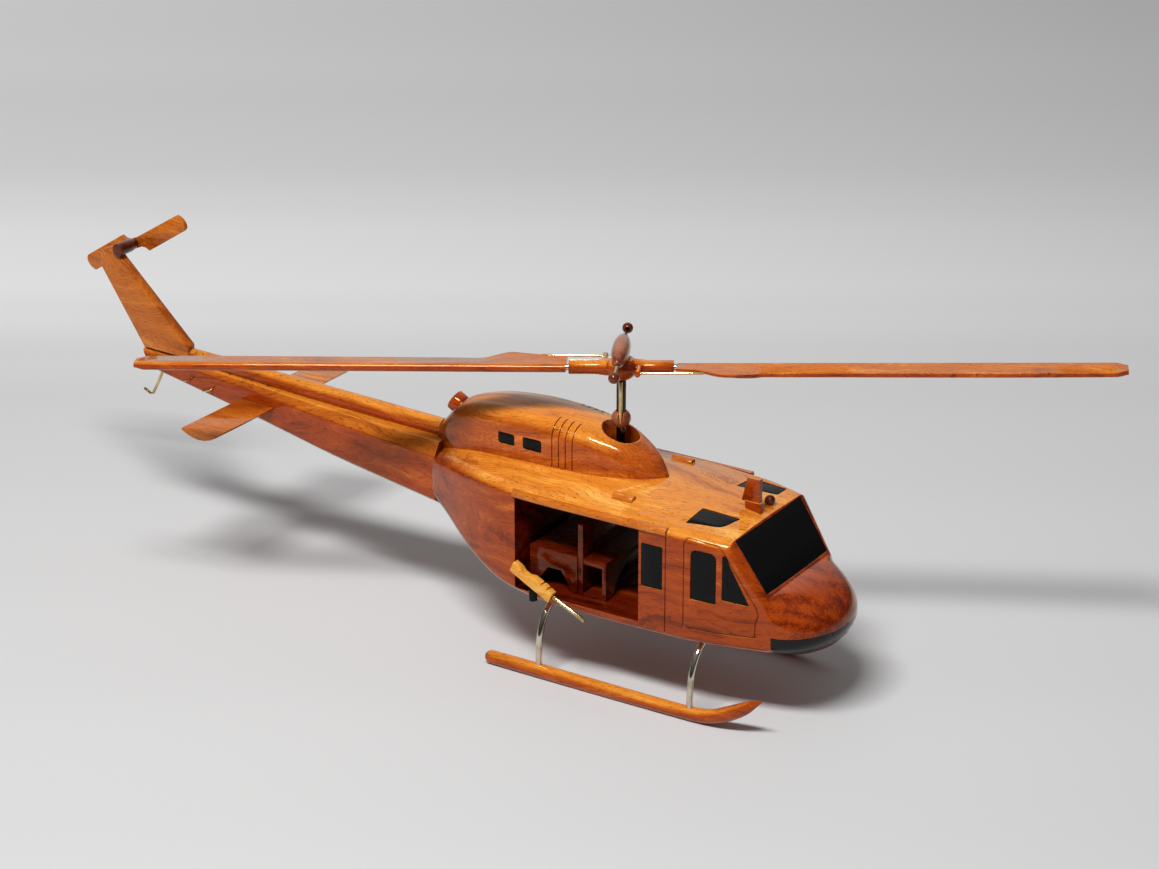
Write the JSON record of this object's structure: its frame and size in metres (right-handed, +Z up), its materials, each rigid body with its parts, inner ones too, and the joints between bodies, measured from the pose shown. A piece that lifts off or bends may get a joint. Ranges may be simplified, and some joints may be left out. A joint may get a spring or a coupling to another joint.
{
  "type": "wooden helicopter scale model",
  "caption": "Carved and lacquered wooden desk model of a two-blade utility helicopter, open through the cabin, with turning main and tail rotors, swivelling door guns and skids to stand on.",
  "frame": {"origin": "on the surface the model stands on, under the middle of its whole length, on its centre plane", "axes": "+X forward to the nose, +Y to port, +Z up"},
  "size_m": [0.5298, 0.2005, 0.1659],
  "materials": {
    "mahogany": "reddish brown carved hardwood under thick glossy lacquer",
    "amber_wood": "orange tan hardwood under glossy lacquer",
    "rosewood": "dark red brown turned wood under glossy lacquer",
    "pale_wood": "pale straw-coloured wood, satin",
    "black_lacquer": "gloss black",
    "brass": "plain brass rod, lightly tarnished",
    "nickel": "polished nickel-plated rod",
    "bronze": "dark bronzed rod, glossy"
  },
  "bodies": {
    "airframe": {"aft_cross_tube": "nickel", "aft_tail_handle": "brass", "beacon": "rosewood", "bench_seat": "mahogany", "box_seat": "mahogany", "chin_panel": "black_lacquer", "engine_cowling": "mahogany", "exhaust_pipe": "mahogany", "forward_cross_tube": "nickel", "forward_tail_handle": "brass", "fuselage": "mahogany", "port_cowling_window_front": "black_lacquer", "port_cowling_window_rear": "black_lacquer", "port_crew_window": "black_lacquer", "port_door_rail": "amber_wood", "port_gun_post": "black_lacquer", "port_post_window": "black_lacquer", "port_quarter_window": "black_lacquer", "port_roof_peg": "amber_wood", "port_roof_window": "black_lacquer", "port_skid": "mahogany", "port_stabilizer": "amber_wood", "seat_back": "mahogany", "starboard_cowling_window_front": "black_lacquer", "starboard_cowling_window_rear": "black_lacquer", "starboard_crew_window": "black_lacquer", "starboard_door_rail": "amber_wood", "starboard_gun_post": "black_lacquer", "starboard_post_window": "black_lacquer", "starboard_quarter_window": "black_lacquer", "starboard_roof_peg": "amber_wood", "starboard_roof_window": "black_lacquer", "starboard_skid": "mahogany", "starboard_stabilizer": "amber_wood", "tail_boom": "mahogany", "tail_fin": "amber_wood", "tail_skid": "brass", "windshield": "black_lacquer", "wire_cutter": "mahogany"},
    "main_rotor": {"aft_bar_weight": "rosewood", "aft_blade": "mahogany", "aft_blade_pin": "nickel", "aft_drag_link": "brass", "forward_bar_weight": "rosewood", "forward_blade": "mahogany", "forward_blade_pin": "nickel", "forward_drag_link": "brass", "push_rod": "brass", "rotor_mast": "bronze", "rotor_saddle": "rosewood", "rotor_yoke": "mahogany", "stabilizer_bar": "brass", "swashplate_ball": "rosewood"},
    "tail_rotor": {"tail_rotor_shaft": "rosewood", "tail_rotor_blades": "amber_wood"},
    "starboard_gun": {"starboard_gun_stock": "pale_wood", "starboard_gun_barrel": "brass"},
    "port_gun": {"port_gun_stock": "pale_wood", "port_gun_barrel": "brass"}
  },
  "joints": [
    {"name": "main_rotor_spin", "type": "hinge", "parent": "airframe", "child": "main_rotor", "pos_m": [0.06002, 0, 0.1], "axis": [0, 0, 1], "continuous": true},
    {"name": "tail_rotor_spin", "type": "hinge", "parent": "airframe", "child": "tail_rotor", "pos_m": [-0.23228, 0, 0.1468], "axis": [0, 1, 0], "continuous": true},
    {"name": "starboard_gun_swivel", "type": "hinge", "parent": "airframe", "child": "starboard_gun", "pos_m": [0.03952, -0.0425, 0.0463], "axis": [0, 0, -1], "range_deg": [-3, 35]},
    {"name": "port_gun_swivel", "type": "hinge", "parent": "airframe", "child": "port_gun", "pos_m": [0.03952, 0.0425, 0.0463], "axis": [0, 0, 1], "range_deg": [-3, 35]}
  ]
}
